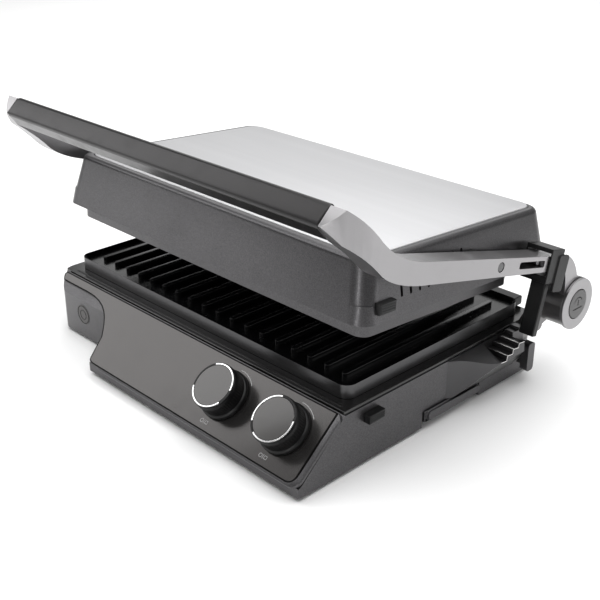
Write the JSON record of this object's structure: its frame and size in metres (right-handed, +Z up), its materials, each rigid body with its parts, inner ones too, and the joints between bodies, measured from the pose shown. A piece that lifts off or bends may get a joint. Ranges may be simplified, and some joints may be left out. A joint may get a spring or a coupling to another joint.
{
  "type": "panini press",
  "caption": "Table-top contact grill with ribbed plates, a floating head on two alloy arms, a sloped control panel, a drip tray and a height stop.",
  "frame": {"origin": "middle of the footprint, on the surface that the feet stand on", "axes": "+X to the appliance's own right-hand side as seen from the front, +Y from the control panel to the hinge at the back, +Z up"},
  "size_m": [0.4144, 0.3138, 0.2131],
  "materials": {
    "gunmetal": "dark grey metallic satin",
    "satin_alloy": "satin cast and brushed",
    "stainless": "brushed",
    "non_stick": "dark non-stick coating",
    "black_plastic": "satin black",
    "gloss_black": "glossy near-black enamel",
    "rubber": "matt",
    "steel": "plain"
  },
  "bodies": {
    "base": {"base_housing": "gunmetal", "deck_frame": "gloss_black", "console_panel": "gloss_black", "bottom_cover": "black_plastic", "front_right_foot": "rubber", "front_left_foot": "rubber", "back_right_foot": "rubber", "back_left_foot": "rubber", "lower_plate": "non_stick", "lower_heater": "steel", "lower_reflector": "stainless", "thermostat": "steel", "timer": "steel", "front_badge": "gloss_black", "height_rack": "gunmetal", "rack_lug": "gunmetal", "right_hinge_post": "gunmetal", "left_hinge_post": "gunmetal", "rear_ridge": "black_plastic", "mains_inlet": "black_plastic"},
    "lid": {"right_arm": "satin_alloy", "left_arm": "satin_alloy", "right_hub_ring": "satin_alloy", "left_hub_ring": "satin_alloy", "right_axle": "steel", "left_axle": "steel", "right_pivot_screw": "steel", "left_pivot_screw": "steel", "handle_bar": "gunmetal"},
    "head": {"head_housing": "gunmetal", "head_top_panel": "stainless", "right_pivot_bush": "black_plastic", "left_pivot_bush": "black_plastic", "upper_plate": "non_stick", "upper_heater": "steel", "upper_reflector": "stainless"},
    "upper_button": {"upper_release": "black_plastic"},
    "lower_button": {"lower_release": "black_plastic"},
    "left_dial": {"left_knob": "black_plastic", "left_knob_ring": "stainless"},
    "right_dial": {"right_knob": "black_plastic", "right_knob_ring": "stainless"},
    "tray": {"drip_tray": "gunmetal"},
    "height_stop": {"height_clip": "black_plastic", "clip_pin": "steel", "height_leg": "black_plastic"},
    "hinge_button": {"hinge_release": "gunmetal"}
  },
  "joints": [
    {"name": "lid_hinge", "type": "hinge", "parent": "base", "child": "lid", "pos_m": [0, 0.1366, 0.0665], "axis": [-1, 0, 0], "range_deg": [-8.8, 146]},
    {"name": "head_tilt", "type": "hinge", "parent": "lid", "child": "head", "pos_m": [0, 0.0266, 0.131], "axis": [1, 0, 0], "range_deg": [-12.4, 3]},
    {"name": "left_knob_turn", "type": "hinge", "parent": "base", "child": "left_dial", "pos_m": [0.076, -0.12929, 0.03366], "axis": [0, 0.6521, -0.7581], "range_deg": [0, 270]},
    {"name": "right_knob_turn", "type": "hinge", "parent": "base", "child": "right_dial", "pos_m": [0.1412, -0.12913, 0.03379], "axis": [0, 0.6521, -0.7581], "range_deg": [0, 300]},
    {"name": "upper_release_press", "type": "slide", "parent": "head", "child": "upper_button", "axis": [-1, 0, 0], "range_m": [0, 0.0025], "stiffness_N_per_m": 600, "springref_m": -0.001},
    {"name": "lower_release_press", "type": "slide", "parent": "base", "child": "lower_button", "axis": [-1, 0, 0], "range_m": [0, 0.003], "stiffness_N_per_m": 600, "springref_m": -0.001},
    {"name": "hinge_release_press", "type": "slide", "parent": "lid", "child": "hinge_button", "axis": [-1, 0, 0], "range_m": [0, 0.0003], "stiffness_N_per_m": 900, "springref_m": -0.001},
    {"name": "drip_tray_pull", "type": "slide", "parent": "base", "child": "tray", "axis": [1, 0, 0], "range_m": [0, 0.18]},
    {"name": "height_stop_slide", "type": "slide", "parent": "lid", "child": "height_stop", "axis": [0, -0.9699, 0.2436], "range_m": [0, 0.028]}
  ]
}
